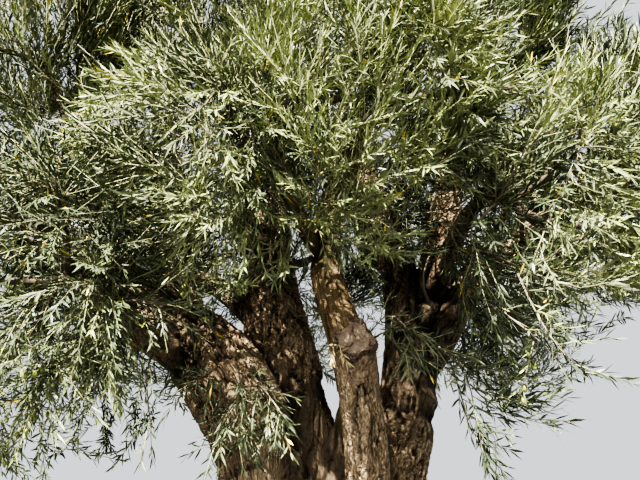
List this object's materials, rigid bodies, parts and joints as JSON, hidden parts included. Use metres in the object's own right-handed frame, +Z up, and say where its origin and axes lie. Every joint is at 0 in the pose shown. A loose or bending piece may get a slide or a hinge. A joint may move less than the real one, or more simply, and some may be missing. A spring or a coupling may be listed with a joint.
{
  "type": "olive tree",
  "caption": "Old olive tree with a broad fluted trunk, root flare, spreading gnarled boughs, a sawn stub and an open crown of narrow grey-green leaves.",
  "frame": {"origin": "centre of the flat cut under the trunk, at ground level", "axes": "+Z up along the trunk, the pictured front faces -Y, +X to the viewer's right"},
  "size_m": [4.4524, 3.26, 4.7703],
  "materials": {
    "bark": "deeply fissured dry bark, matt",
    "smooth_bark": "smoother ochre bark with fine cracks, matt",
    "cut_wood": "weathered sawn wood with a bark collar",
    "foliage": "leathery narrow leaves, grey-green with silvery undersides"
  },
  "bodies": {
    "root": {"trunk": "bark", "left_bough": "bark", "middle_left_bough": "bark", "centre_bough": "smooth_bark", "right_bough": "bark", "back_bough": "bark", "left_hanging_branch": "bark", "left_upper_branch": "bark", "back_left_branch": "bark", "front_upper_branch": "bark", "front_left_branch": "bark", "far_right_branch": "bark", "right_front_branch": "bark", "back_right_branch": "bark", "crown_branch": "bark", "sawn_stub": "cut_wood", "foliage_far_left": "foliage", "foliage_left_hanging": "foliage", "foliage_left_upper": "foliage", "foliage_top_left": "foliage", "foliage_back_left": "foliage", "foliage_front_upper": "foliage", "foliage_front_left": "foliage", "foliage_centre_front": "foliage", "foliage_top_right": "foliage", "foliage_far_right": "foliage", "foliage_right_front": "foliage", "foliage_back": "foliage", "foliage_back_right": "foliage", "foliage_crown_top": "foliage"}
  },
  "joints": []
}
